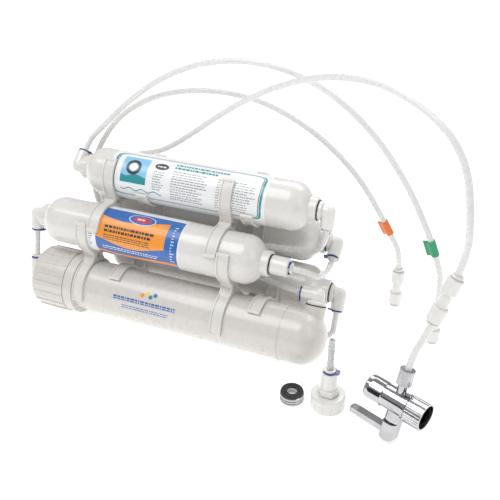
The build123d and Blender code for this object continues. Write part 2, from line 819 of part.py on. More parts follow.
PRODUCT_ROUTE = [
    inside(UPPER_LEFT_MOUTH),
    outside(UPPER_LEFT_MOUTH, 18),
    (-120, 81, 190),
    (-82, 90, 228),
    (-32, 91, 263),
    (25, 91, 284),
    (84, 91, 286),
    (139, 91, 269),
    (190, 91, 231),
    (229, 90, 182),
    (256, 89, 134),
    (272, 88, 96),
    (277, 88, 74),
    (PRODUCT_UNION * Location((0, 0, UNION_HALF - SOCKET_DEPTH))).position,
]
DRAIN_ROUTE = [
    inside(REAR_LOWER_LEFT_MOUTH),
    outside(REAR_LOWER_LEFT_MOUTH, 18),
    (-133, 76, 110),
    (-138, 83, 138),
    (-128, 88, 166),
    (-104, 95, 202),
    (-63, 101, 230),
    (-14, 107, 243),
    (44, 116, 242),
    (97, 125, 221),
    (142, 132, 188),
    (174, 136, 153),
    (196, 138, 119),
    (212, 140, 91),
    (224, 142, 68),
    (DRAIN_UNION * Location((0, 0, UNION_HALF - SOCKET_DEPTH))).position,
]
FEED_ROUTE = [
    inside(REAR_UPPER_LEFT_MOUTH),
    outside(REAR_UPPER_LEFT_MOUTH, 14),
    (-124, 119, 138),
    (-98, 122, 148),
    (-60, 115, 160),
    (-18, 106, 190),
    (22, 96, 222),
    (66, 84, 253),
    (112, 71, 278),
    (160, 55, 294),
    (205, 38, 297),
    (244, 16, 289),
    (272, -1, 275),
    (290, -14, 252),
    (298, -23, 220),
    (FEED_UNION * Location((0, 0, 2 * UNION_HALF))).position,
    (FEED_UNION * Location((0, 0, UNION_HALF - SOCKET_DEPTH))).position,
]

# ------------------------------------------------------------------ tap diverter
# The body lies level and stands on its lever hub; the outlet leans back, the spindle is
# opposite it.
HUB_LONG = 21.0
HUB_WIDE = 14.0
HUB_START = 20.0
HUB_END = 37.5
PORT_AT = 32.0
PORT_TILT = math.radians(15)
DIVERTER_Z = HUB_END * math.cos(PORT_TILT) + HUB_LONG / 2 * math.sin(PORT_TILT)
DIVERTER = Plane(
    origin=(238, -48.7, DIVERTER_Z), x_dir=(0, 0, 1), z_dir=(0.927, -0.376, 0)
).location
OUTLET_LEAN = (math.cos(PORT_TILT), -math.sin(PORT_TILT), 0)
OUTLET_LOCAL = Plane(origin=(0, 0, PORT_AT), z_dir=OUTLET_LEAN).location
OUTLET = DIVERTER * OUTLET_LOCAL
SPINDLE_LOCAL = Plane(
    origin=(0, 0, PORT_AT),
    x_dir=(math.sin(PORT_TILT), math.cos(PORT_TILT), 0),
    z_dir=(-math.cos(PORT_TILT), math.sin(PORT_TILT), 0),
).location
SPINDLE = DIVERTER * SPINDLE_LOCAL
END_CAP_R = 12.3
END_CAP_L = 19.0
END_CAP_FACES = 14
VALVE_R = 11.5
VALVE_END = 44.0
VALVE_BORE_R = 7.0
VALVE_COLLAR_R = 12.6
NUT_R = 13.4
NUT_START = 44.6
NUT_END = 61.0
NUT_NECK_R = 9.5
NUT_FLANGE_R = 11.0
NUT_FLUTES = 30
NUT_THREAD_R = 11.5
INLET_WASHER_T = 2.0
OUTLET_STEM_R = 4.6
OUTLET_NUT_R = 7.2
OUTLET_NUT_START = 19.0
OUTLET_END = 31.0
OUTLET_NUT_END = 34.0
OUTLET_SOCKET_AT = 24.0
BOSS_R = 8.0
BOSS_L = 19.5
SPINDLE_R = 4.0
BALL_R = 6.6
HANDLE_T = 5.0
HANDLE_W = 10.5
HANDLE_SET = 4.0
HANDLE_REACH = 44.0
BOTTOM = (Align.CENTER, Align.CENTER, Align.MIN)


def span(radius, start, end, mode=Mode.ADD):
    """Adds or cuts a cylinder between two heights on the current axis."""
    with Locations((0, 0, start)):
        Cylinder(radius, end - start, align=BOTTOM, mode=mode)


def fluted(radius, start, end, count, depth):
    """Adds a grip with shallow lengthwise flutes between two heights."""
    with BuildSketch(Plane.XY.offset(start)) as grip:
        Circle(radius)
        with PolarLocations(radius + depth * 0.4, count):
            Circle(depth * 1.4, mode=Mode.SUBTRACT)
    extrude(grip.sketch, amount=end - start)


tail_end = OUTLET * Location((0, 0, OUTLET_SOCKET_AT))
TAIL_ROUTE = [
    (FEED_UNION * Location((0, 0, SOCKET_DEPTH - UNION_HALF))).position,
    (FEED_UNION * Location((0, 0, -2 * UNION_HALF))).position,
    (OUTLET * Location((0, 0, OUTLET_NUT_END + 14))).position,
    tail_end.position,
]
tube("product_tube", PRODUCT_ROUTE)
tube("drain_tube", DRAIN_ROUTE)
tube("feed_tube", FEED_ROUTE)
tube("feed_tail_tube", TAIL_ROUTE)

with BuildPart() as union:
    for outward in (-1, 1):
        with Locations((0, 0, outward * (UNION_HALF - UNION_COLLAR_L / 2))):
            Cylinder(BODY_R, UNION_COLLAR_L)
    chamfer(union.edges().filter_by(GeomType.CIRCLE), 0.8)
    Cylinder(UNION_NECK_R, 2 * UNION_HALF - UNION_COLLAR_L)
    Cylinder(WATERWAY_R, 3 * UNION_HALF, mode=Mode.SUBTRACT)
    with Locations(Location((0, 0, UNION_HALF)), Location((0, 0, -UNION_HALF), (180, 0, 0))):
        mouth_recess()
TOP_MOUTH = Location((0, 0, UNION_HALF))
BOTTOM_MOUTH = Location((0, 0, -UNION_HALF), (180, 0, 0))
for union_name, place in (
    ("product_union", PRODUCT_UNION),
    ("drain_union", DRAIN_UNION),
    ("feed_union", FEED_UNION),
):
    save(group(union, [place]), union_name)
HELD = [
    PRODUCT_UNION * TOP_MOUTH,
    DRAIN_UNION * TOP_MOUTH,
    FEED_UNION * TOP_MOUTH,
    FEED_UNION * BOTTOM_MOUTH,
]
save(group(collet, HELD), "union_collets")
save(group(collet, [PRODUCT_UNION * BOTTOM_MOUTH]), "product_release_collet")
save(group(collet, [DRAIN_UNION * BOTTOM_MOUTH]), "drain_release_collet")

# Coloured flags that tell the outlet tube from the drain tube.
TAG_L = 17.0
TAG_W = 7.0
TAG_T = 0.6
TAG_GAP = 0.5


def flag(route, index, share):
    """Builds a small flag wrapped round one straight run of a tube."""
    start = Vector(*route[index])
    run = Vector(*route[index + 1]) - start
    with BuildPart() as tag:
        with BuildSketch(Plane(origin=start + run * share, x_dir=(1, -0.4, 0), z_dir=run)):
            Circle(TUBE_R + TAG_GAP + TAG_T)
            with Locations((-TUBE_R - TAG_W / 2, 0)):
                Rectangle(TAG_W, 2 * TAG_T)
            Circle(TUBE_R + TAG_GAP, mode=Mode.SUBTRACT)
        extrude(amount=TAG_L / 2, both=True)
    return tag


save(flag(PRODUCT_ROUTE, 10, 0.45), "product_tag")
save(flag(DRAIN_ROUTE, 12, 0.6), "drain_tag")


def placed(local, place):
    """Copies a piece built about its own axis to its place."""
    with BuildPart() as piece:
        with Locations(place):
            add(local.part)
    return piece


with BuildPart() as valve:
    span(VALVE_R, END_CAP_L, VALVE_END)
    span(VALVE_COLLAR_R, VALVE_END - 3.0, VALVE_END)
    chamfer(valve.edges().filter_by(GeomType.CIRCLE).group_by(Axis.Z)[-1], 0.6)
    span(NUT_NECK_R, END_CAP_L - 5.0, VALVE_END + 6.0)
    span(NUT_FLANGE_R, VALVE_END + 5.0, VALVE_END + 7.0)
    with Locations(SPINDLE_LOCAL):
        Cylinder(BOSS_R, BOSS_L, align=BOTTOM)
    with Locations(OUTLET_LOCAL):
        Cylinder(OUTLET_STEM_R, OUTLET_END, align=BOTTOM)
    span(VALVE_BORE_R, END_CAP_L - 5.0, VALVE_END + 7.0, Mode.SUBTRACT)
    with Locations(SPINDLE_LOCAL):
        Cylinder(SPINDLE_R + RUNNING / 2, BOSS_L, align=BOTTOM, mode=Mode.SUBTRACT)
    with Locations(OUTLET_LOCAL):
        Cylinder(WATERWAY_R, OUTLET_END, align=BOTTOM, mode=Mode.SUBTRACT)
        with Locations((0, 0, OUTLET_SOCKET_AT)):
            Cylinder(TUBE_SOCKET_R, OUTLET_END, align=BOTTOM, mode=Mode.SUBTRACT)
save(placed(valve, DIVERTER), "diverter_body")

with BuildPart() as end_cap:
    with BuildSketch():
        RegularPolygon(END_CAP_R + 0.15, END_CAP_FACES)
    extrude(amount=END_CAP_L)
    with BuildSketch(Plane.XZ):
        with BuildLine():
            Polyline(
                (0, 0),
                (END_CAP_R - 1.6, 0),
                (END_CAP_R - 0.4, 1.6),
                (END_CAP_R, 6.0),
                (END_CAP_R, END_CAP_L - 0.8),
                (END_CAP_R - 0.8, END_CAP_L),
                (0, END_CAP_L),
                close=True,
            )
        make_face()
    revolve(axis=Axis.Z, mode=Mode.INTERSECT)
    span(NUT_NECK_R + FIT, 1.2, END_CAP_L, Mode.SUBTRACT)
    span(NUT_NECK_R - 1.0, 0, END_CAP_L, Mode.SUBTRACT)
save(placed(end_cap, DIVERTER), "diverter_end_cap")

with BuildPart() as screen:
    span(NUT_NECK_R, 1.2, 2.4)
    with HexLocations(1.7, 5, 5):
        Cylinder(0.75, 10, mode=Mode.SUBTRACT)
save(placed(screen, DIVERTER), "diverter_screen")

with BuildPart() as swivel_nut:
    fluted(NUT_R, NUT_START, NUT_END, NUT_FLUTES, 0.55)
    span(NUT_NECK_R + RUNNING, NUT_START, NUT_END, Mode.SUBTRACT)
    span(NUT_FLANGE_R + RUNNING, VALVE_END + 4.9, NUT_END, Mode.SUBTRACT)
    span(NUT_THREAD_R, VALVE_END + 7.0 + INLET_WASHER_T, NUT_END, Mode.SUBTRACT)
save(placed(swivel_nut, DIVERTER), "diverter_swivel_nut")

with BuildPart() as inlet_washer:
    span(NUT_FLANGE_R, VALVE_END + 7.0, VALVE_END + 7.0 + INLET_WASHER_T)
    span(VALVE_BORE_R + 0.5, VALVE_END + 7.0, NUT_END, Mode.SUBTRACT)
save(placed(inlet_washer, DIVERTER), "diverter_washer")

with BuildPart() as valve_stem:
    Sphere(BALL_R)
    span(SPINDLE_R, BALL_R - 2.0, HUB_END - 3.0)
    Cylinder(BALL_R / 2, 3 * BALL_R, rotation=(90, 0, 0), mode=Mode.SUBTRACT)
save(placed(valve_stem, SPINDLE), "diverter_ball_stem")

with BuildPart() as lever:
    with BuildSketch(Plane.XY.offset(HUB_START)):
        RectangleRounded(HUB_LONG, HUB_WIDE, HUB_WIDE * 0.42)
    extrude(amount=HUB_END - HUB_START)
    fillet(lever.edges().group_by(Axis.Z)[-1], 1.5)
    with BuildSketch(Plane.XY.offset(HUB_END - HANDLE_T - HANDLE_SET)):
        with Locations((0, HANDLE_REACH / 2)):
            RectangleRounded(HANDLE_W, HANDLE_REACH, HANDLE_W * 0.3)
    extrude(amount=HANDLE_T)
    span(SPINDLE_R + FIT / 2, 0, HUB_END - 2.9, Mode.SUBTRACT)
save(placed(lever, SPINDLE), "diverter_lever")

with BuildPart() as lever_screw:
    span(SPINDLE_R * 0.75, HUB_END, HUB_END + 1.2)
    fillet(lever_screw.edges().group_by(Axis.Z)[-1], 0.4)
    with Locations((0, 0, HUB_END + 1.2)):
        Box(SPINDLE_R * 2, 0.7, 1.0, mode=Mode.SUBTRACT)
save(placed(lever_screw, SPINDLE), "diverter_lever_screw")

with BuildPart() as outlet_nut:
    fluted(OUTLET_NUT_R, OUTLET_NUT_START, OUTLET_NUT_END, 20, 0.5)
    span(OUTLET_STEM_R + RUNNING, OUTLET_NUT_START, OUTLET_END + 0.3, Mode.SUBTRACT)
    span(TUBE_R + 2 * RUNNING, OUTLET_NUT_START, OUTLET_NUT_END, Mode.SUBTRACT)
save(placed(outlet_nut, OUTLET), "diverter_outlet_nut")

# ------------------------------------------------------------------- hose adapter
ADAPTER = Location((199, -48, 0))
ADAPTER_NUT_R = 17.0
ADAPTER_NUT_H = 15.0
ADAPTER_THREAD_R = 13.2
ADAPTER_SEAT_H = 12.0
ADAPTER_NECK_R = 8.5
ADAPTER_FLANGE_R = 12.5
ADAPTER_FLANGE_T = 2.2
ADAPTER_HEX_R = 10.6
ADAPTER_HEX_END = 22.5
ADAPTER_TOP = 42.0
ADAPTER_WASHER_T = 2.0
STUB_TOP = 80.0
MARK_W = 0.8
MARK_DEPTH = 0.2
FLANGE_TOP = ADAPTER_SEAT_H - RUNNING
WASHER_TOP = FLANGE_TOP - ADAPTER_FLANGE_T
ADAPTER_THREAD_H = WASHER_TOP - ADAPTER_WASHER_T

with BuildPart() as adapter_nut:
    fluted(ADAPTER_NUT_R, 0, ADAPTER_NUT_H, 12, 0.5)
    chamfer(adapter_nut.edges().group_by(Axis.Z)[-1], 1.2)
    span(ADAPTER_THREAD_R, 0, ADAPTER_THREAD_H, Mode.SUBTRACT)
    span(ADAPTER_FLANGE_R + RUNNING, 0, ADAPTER_SEAT_H, Mode.SUBTRACT)
    span(ADAPTER_NECK_R + RUNNING, 0, ADAPTER_NUT_H, Mode.SUBTRACT)
save(placed(adapter_nut, ADAPTER), "adapter_nut")

with BuildPart() as adapter_stem:
    span(ADAPTER_FLANGE_R, WASHER_TOP, FLANGE_TOP)
    span(ADAPTER_NECK_R, FLANGE_TOP, ADAPTER_NUT_H + 0.5)
    with BuildSketch(Plane.XY.offset(ADAPTER_NUT_H + 0.5)):
        RegularPolygon(ADAPTER_HEX_R, 6)
    extrude(amount=ADAPTER_HEX_END - ADAPTER_NUT_H - 0.5)
    span(BODY_R + 0.6, ADAPTER_HEX_END, ADAPTER_TOP)
    chamfer(adapter_stem.edges().group_by(Axis.Z)[-1], 0.9)
    span(WATERWAY_R, 0, ADAPTER_TOP, Mode.SUBTRACT)
    with Locations((0, 0, ADAPTER_TOP)):
        mouth_recess()
save(placed(adapter_stem, ADAPTER), "adapter_stem")

with BuildPart() as adapter_washer:
    span(ADAPTER_FLANGE_R, ADAPTER_THREAD_H, WASHER_TOP)
    span(ADAPTER_NECK_R, ADAPTER_THREAD_H, WASHER_TOP, Mode.SUBTRACT)
save(placed(adapter_washer, ADAPTER), "adapter_washer")

ADAPTER_MOUTH = ADAPTER * Location((0, 0, ADAPTER_TOP))
save(group(collet, [ADAPTER_MOUTH]), "adapter_collet")
save(group(locking_clip, [ADAPTER_MOUTH]), "adapter_locking_clip")

# A scored ring marks how deep the stub tube is pushed in.
MARK_START = ADAPTER_TOP + COLLET_PROUD + COLLET_FLANGE_T + 0.2
MARK_END = MARK_START + MARK_W
with BuildPart() as stub:
    span(TUBE_R, ADAPTER_TOP - SOCKET_DEPTH, MARK_START)
    span(TUBE_R - MARK_DEPTH, MARK_START, MARK_END)
    span(TUBE_R, MARK_END, STUB_TOP)
    span(TUBE_BORE_R, ADAPTER_TOP - SOCKET_DEPTH, STUB_TOP, Mode.SUBTRACT)
save(placed(stub, ADAPTER), "adapter_stub_tube")

# -------------------------------------------------------------- tap thread adapter
RING = Location((164, -54, 0))
RING_R = 12.0
RING_H = 9.0
RING_BORE_R = 8.6
RING_GROOVES = (2.4, 5.2)
RING_GROOVE_W = 1.0
RING_WASHER_IN = 5.2
RING_WASHER_OUT = 11.6
RING_WASHER_T = 1.8
with BuildPart() as tap_ring:
    span(RING_R, 0, RING_H)
    chamfer(tap_ring.edges().filter_by(GeomType.CIRCLE), 0.6)
    span(RING_BORE_R, 0, RING_H, Mode.SUBTRACT)
    for groove in RING_GROOVES:
        with BuildSketch(Plane.XY.offset(groove)):
            Circle(RING_R + 1.0)
            Circle(RING_R - 0.6, mode=Mode.SUBTRACT)
        extrude(amount=RING_GROOVE_W, mode=Mode.SUBTRACT)
save(placed(tap_ring, RING), "tap_adapter_ring")

with BuildPart() as ring_washer:
    span(RING_WASHER_OUT - 0.4, RING_H, RING_H + RING_WASHER_T)
    fillet(ring_washer.edges().group_by(Axis.Z)[-1], 0.5)
    span(RING_WASHER_IN, RING_H, RING_H + RING_WASHER_T, Mode.SUBTRACT)
save(placed(ring_washer, RING), "tap_adapter_washer")
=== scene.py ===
"""Looks for a five-stage countertop reverse osmosis unit.

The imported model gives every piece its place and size.  This file dresses the
pieces in moulded plastic, rubber, plated metal and printed film, replaces the
plain water tubes with smooth curves, and prints the generic labels.  All
lengths are metres in the model's own frame: X runs along the housings and Z is
up.
"""

import logging
import math
from collections.abc import Callable, Iterable
from dataclasses import dataclass
from enum import Enum

import bpy
import numpy as np
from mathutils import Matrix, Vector

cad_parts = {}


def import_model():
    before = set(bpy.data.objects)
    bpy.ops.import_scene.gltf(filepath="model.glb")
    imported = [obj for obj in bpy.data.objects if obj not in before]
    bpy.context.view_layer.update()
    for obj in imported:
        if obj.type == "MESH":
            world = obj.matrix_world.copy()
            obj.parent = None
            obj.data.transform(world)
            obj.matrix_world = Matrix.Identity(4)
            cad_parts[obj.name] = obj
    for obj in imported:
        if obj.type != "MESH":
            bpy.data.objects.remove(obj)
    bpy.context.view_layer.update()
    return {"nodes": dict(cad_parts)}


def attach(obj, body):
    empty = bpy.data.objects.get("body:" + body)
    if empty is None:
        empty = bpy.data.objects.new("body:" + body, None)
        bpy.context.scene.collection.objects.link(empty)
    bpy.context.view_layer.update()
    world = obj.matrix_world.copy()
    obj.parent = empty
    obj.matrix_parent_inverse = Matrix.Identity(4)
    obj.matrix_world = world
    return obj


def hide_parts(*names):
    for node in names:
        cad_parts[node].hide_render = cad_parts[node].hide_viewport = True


LOG = logging.getLogger("reverse_osmosis_unit")

MM = 0.001
TUBE_DIAMETER = 6.35 * MM
FILTER_RADIUS = 26.0 * MM
HOUSING_RADIUS = 29.0 * MM
LABEL_RADIUS = FILTER_RADIUS + 0.15 * MM
INK_LIFT = 0.05 * MM
INK_STEP = 0.04 * MM
PANEL_STEPS = 49
RING_STEPS = 96
RING_BANDS = 12
DISC = 0.01
WORD_LENGTH = (1.2, 5.0)
WORD_GAP = 0.9
WORD_PITCH = 2.2
LINE_FILL = (0.75, 1.0)

Range = tuple[float, float]
Edge = float | Callable[[np.ndarray], np.ndarray]


# ------------------------------------------------------------------- placement
@dataclass(frozen=True)
class Seat:
    """A local frame: an origin, the way its own X points and the way its own Z points."""

    origin: tuple[float, float, float]
    x_dir: tuple[float, float, float]
    z_dir: tuple[float, float, float]

    def axes(self) -> np.ndarray:
        """Returns the three unit axes as the rows of a 3 by 3 array."""
        z = np.array(self.z_dir) / np.linalg.norm(self.z_dir)
        x = np.array(self.x_dir) - np.dot(self.x_dir, z) * z
        x = x / np.linalg.norm(x)
        return np.stack([x, np.cross(z, x), z])

    def place(self, local: np.ndarray) -> np.ndarray:
        """Moves points from this frame to the model's frame.

        Args:
            local: Points with the last axis of length 3, in metres.

        Returns:
            An array of the same shape: origin plus x, y and z times the axes.
        """
        return np.array(self.origin) + local @ self.axes()


class Housing(Enum):
    """The long axis of each housing, as its Y and Z."""

    MEMBRANE = (-0.02770, 0.03550)
    FRONT = (-0.00958, 0.10311)
    UPPER = (0.03156, 0.15214)
    REAR_UPPER = (0.06452, 0.09728)
    REAR_LOWER = (0.04101, 0.04886)

    def seat(self) -> Seat:
        """Returns a frame on the axis with Z along the model's X."""
        return Seat((0.0, *self.value), (0.0, 1.0, 0.0), (1.0, 0.0, 0.0))


# ------------------------------------------------------------- parametric meshes
def grid_faces(rows: int, columns: int, closed: bool) -> np.ndarray:
    """Joins a grid of points into quads.

    Args:
        rows: Number of points along the first parameter.
        columns: Number of points along the second parameter.
        closed: Whether the second parameter comes back to its start.

    Returns:
        Quads as rows of four point numbers: (i, j), (i, j+1), (i+1, j+1), (i+1, j).
    """
    across = columns if closed else columns - 1
    i, j = np.meshgrid(np.arange(rows - 1), np.arange(across), indexing="ij")
    after = (j + 1) % columns
    corners = [i * columns + j, i * columns + after]
    corners += [(i + 1) * columns + after, (i + 1) * columns + j]
    return np.stack(corners, axis=-1).reshape(-1, 4)


def mesh_piece(
    name: str,
    points: np.ndarray,
    faces: np.ndarray,
    material: bpy.types.Material,
    body: str = "unit",
) -> bpy.types.Object:
    """Puts points and quads into a smooth mesh object that rides on a body.

    Args:
        name: The piece's name.
        points: Points as an (n, 3) array in metres.
        faces: Quads as an (m, 4) array of point numbers.
        material: The finish.
        body: The body that carries the piece.

    Returns:
        The new object, at the origin.
    """
    mesh = bpy.data.meshes.new(name)
    mesh.from_pydata(points.reshape(-1, 3).tolist(), [], faces.tolist())
    mesh.polygons.foreach_set("use_smooth", np.ones(len(faces), dtype=bool))
    mesh.update()
    mesh.materials.append(material)
    piece = bpy.data.objects.new(name, mesh)
    bpy.context.scene.collection.objects.link(piece)
    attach(piece, body)
    return piece


# -------------------------------------------------------------------- node helper
class Graph:
    """A small helper that wires one Principled material."""

    def __init__(self, name: str) -> None:
        """Starts an empty material with a Principled shader and Object coordinates."""
        self.material = bpy.data.materials.new(name)
        self.material.use_nodes = True
        self.nodes = self.material.node_tree.nodes
        self.links = self.material.node_tree.links
        self.shader = self.nodes["Principled BSDF"]
        self.coordinates = self.nodes.new("ShaderNodeTexCoord").outputs["Object"]

    def stretched(self, scale: tuple[float, float, float]) -> bpy.types.NodeSocket:
        """Returns Object coordinates multiplied by one factor per axis."""
        mapping = self.nodes.new("ShaderNodeMapping")
        mapping.inputs["Scale"].default_value = scale
        self.links.new(self.coordinates, mapping.inputs["Vector"])
        return mapping.outputs["Vector"]

    def noise(
        self,
        scale: float,
        detail: float = 3.0,
        roughness: float = 0.5,
        vector: bpy.types.NodeSocket | None = None,
    ) -> bpy.types.NodeSocket:
        """Adds a noise texture and returns its value.

        Args:
            scale: Waves per metre.
            detail: Octaves.
            roughness: How strong the finer octaves are.
            vector: Coordinates, or None for Object coordinates.

        Returns:
            The noise value, about 0 to 1.
        """
        noise = self.nodes.new("ShaderNodeTexNoise")
        noise.inputs["Scale"].default_value = scale
        noise.inputs["Detail"].default_value = detail
        noise.inputs["Roughness"].default_value = roughness
        self.links.new(vector or self.coordinates, noise.inputs["Vector"])
        return noise.outputs["Fac"]

    def ramp(
        self, value: bpy.types.NodeSocket, stops: list[tuple[float, tuple[float, ...]]]
    ) -> bpy.types.NodeSocket:
        """Maps a value to a colour through stops of (position, colour)."""
        ramp = self.nodes.new("ShaderNodeValToRGB")
        while len(ramp.color_ramp.elements) < len(stops):
            ramp.color_ramp.elements.new(0.5)
        for element, (position, colour) in zip(ramp.color_ramp.elements, stops):
            element.position = position
            element.color = (*colour, 1.0)
        self.links.new(value, ramp.inputs["Fac"])
        return ramp.outputs["Color"]

    def between(
        self, value: bpy.types.NodeSocket, low: float, high: float
    ) -> bpy.types.NodeSocket:
        """Maps 0.3 to 0.7 of a value to low to high, held at both ends."""
        remap = self.nodes.new("ShaderNodeMapRange")
        remap.inputs["From Min"].default_value = 0.3
        remap.inputs["From Max"].default_value = 0.7
        remap.inputs["To Min"].default_value = low
        remap.inputs["To Max"].default_value = high
        self.links.new(value, remap.inputs["Value"])
        return remap.outputs["Result"]

    def bump(
        self,
        height: bpy.types.NodeSocket,
        depth: float,
        strength: float = 1.0,
        under: bpy.types.NodeSocket | None = None,
    ) -> bpy.types.NodeSocket:
        """Adds a bump of the given depth in metres and returns its normal."""
        bump = self.nodes.new("ShaderNodeBump")
        bump.inputs["Distance"].default_value = depth
        bump.inputs["Strength"].default_value = strength
        self.links.new(height, bump.inputs["Height"])
        if under is not None:
            self.links.new(under, bump.inputs["Normal"])
        return bump.outputs["Normal"]

    def feed(self, socket: bpy.types.NodeSocket, name: str) -> None:
        """Links a socket to one of the shader's inputs."""
        self.links.new(socket, self.shader.inputs[name])

    def fix(self, **values: float | tuple[float, ...]) -> None:
        """Sets constant shader inputs; an underscore in a name stands for a space."""
        for name, value in values.items():
            self.shader.inputs[name.replace("_", " ")].default_value = value


# ----------------------------------------------------------------------- finishes
@dataclass(frozen=True)
class MouldedPlastic:
    """Glossy injection-moulded plastic with faint flow marks and orange peel."""

    name: str
    light: tuple[float, float, float]
    dark: tuple[float, float, float]
    roughness: float
    coat: float
    peel_scale: float = 900.0
    peel_depth: float = 0.00001
    glow: float = 0.12

    def build(self) -> bpy.types.Material:
        """Returns the node material."""
        graph = Graph(self.name)
        flow = graph.noise(18.0, 4.0, 0.55, graph.stretched((0.35, 1.0, 1.0)))
        graph.feed(graph.ramp(flow, [(0.35, self.dark), (0.68, self.light)]), "Base Color")
        scuff = graph.noise(140.0, 5.0, 0.6)
        graph.feed(
            graph.between(scuff, self.roughness * 0.8, self.roughness * 1.3), "Roughness"
        )
        wave = graph.bump(graph.noise(30.0, 1.0), self.peel_depth * 2.0, 0.3)
        peel = graph.noise(self.peel_scale, 2.0)
        graph.feed(graph.bump(peel, self.peel_depth, 0.4, wave), "Normal")
        graph.fix(
            Coat_Weight=self.coat,
            Coat_Roughness=0.08,
            IOR=1.49,
            Subsurface_Weight=self.glow,
            Subsurface_Radius=(0.004, 0.0036, 0.003),
            Subsurface_Scale=1.0,
        )
        return graph.material


@dataclass(frozen=True)
class MilkyTube:
    """Drawn polyethylene tube: milky, slightly see-through, with fine lengthwise lines."""

    name: str
    light: tuple[float, float, float]
    dark: tuple[float, float, float]
    clear: float

    def build(self) -> bpy.types.Material:
        """Returns the node material."""
        graph = Graph(self.name)
        cloud = graph.noise(12.0, 2.0, 0.5)
        graph.feed(graph.ramp(cloud, [(0.3, self.dark), (0.7, self.light)]), "Base Color")
        lines = graph.noise(260.0, 2.0, 0.5)
        graph.feed(graph.between(lines, 0.22, 0.34), "Roughness")
        graph.feed(graph.bump(lines, 0.000004, 0.1), "Normal")
        graph.fix(
            Transmission_Weight=self.clear,
            Subsurface_Weight=0.35,
            Subsurface_Radius=(0.003, 0.003, 0.003),
            Subsurface_Scale=1.0,
            IOR=1.5,
            Coat_Weight=0.25,
            Coat_Roughness=0.12,
        )
        return graph.material


@dataclass(frozen=True)
class Rubber:
    """Matt black nitrile rubber with dust in its pores."""

    name: str
    light: tuple[float, float, float]
    dark: tuple[float, float, float]

    def build(self) -> bpy.types.Material:
        """Returns the node material."""
        graph = Graph(self.name)
        dust = graph.noise(420.0, 6.0, 0.7)
        graph.feed(graph.ramp(dust, [(0.4, self.dark), (0.75, self.light)]), "Base Color")
        graph.feed(graph.between(dust, 0.45, 0.7), "Roughness")
        graph.feed(graph.bump(graph.noise(1800.0, 3.0), 0.00006, 0.7), "Normal")
        graph.fix(Specular_IOR_Level=0.45)
        return graph.material


@dataclass(frozen=True)
class PlatedMetal:
    """Bright chrome plate over a cast body, with polishing haze and fine scratches."""

    name: str
    light: tuple[float, float, float]
    dark: tuple[float, float, float]
    haze: float

    def build(self) -> bpy.types.Material:
        """Returns the node material."""
        graph = Graph(self.name)
        cloud = graph.noise(90.0, 4.0, 0.6)
        graph.feed(graph.ramp(cloud, [(0.35, self.dark), (0.7, self.light)]), "Base Color")
        scratch = graph.noise(300.0, 6.0, 0.75, graph.stretched((6.0, 1.0, 6.0)))
        graph.feed(graph.between(scratch, self.haze * 0.6, self.haze * 1.8), "Roughness")
        graph.feed(graph.bump(graph.noise(160.0, 2.0), 0.00005, 0.35), "Normal")
        graph.fix(Metallic=1.0)
        return graph.material


@dataclass(frozen=True)
class PrintedInk:
    """Screen-printed ink: nearly flat colour with halftone grain and a thin gloss."""

    name: str
    light: tuple[float, float, float]
    dark: tuple[float, float, float]
    roughness: float = 0.32

    def build(self) -> bpy.types.Material:
        """Returns the node material."""
        graph = Graph(self.name)
        grain = graph.noise(1500.0, 3.0, 0.6)
        graph.feed(graph.ramp(grain, [(0.35, self.dark), (0.65, self.light)]), "Base Color")
        graph.feed(
            graph.between(grain, self.roughness * 0.85, self.roughness * 1.2), "Roughness"
        )
        graph.feed(graph.bump(graph.noise(500.0, 2.0), 0.00002, 0.5), "Normal")
        graph.fix(Coat_Weight=0.3, Coat_Roughness=0.1)
        return graph.material


@dataclass(frozen=True)
class PressedGrains:
    """Porous block pressed from granules, such as carbon or sediment media."""

    name: str
    light: tuple[float, float, float]
    dark: tuple[float, float, float]

    def build(self) -> bpy.types.Material:
        """Returns the node material."""
        graph = Graph(self.name)
        cells = graph.nodes.new("ShaderNodeTexVoronoi")
        cells.inputs["Scale"].default_value = 900.0
        graph.links.new(graph.coordinates, cells.inputs["Vector"])
        grains = cells.outputs["Distance"]
        graph.feed(graph.ramp(grains, [(0.1, self.light), (0.6, self.dark)]), "Base Color")
        graph.feed(graph.between(grains, 0.6, 0.9), "Roughness")
        graph.feed(graph.bump(grains, 0.0004, 0.8), "Normal")
        return graph.material


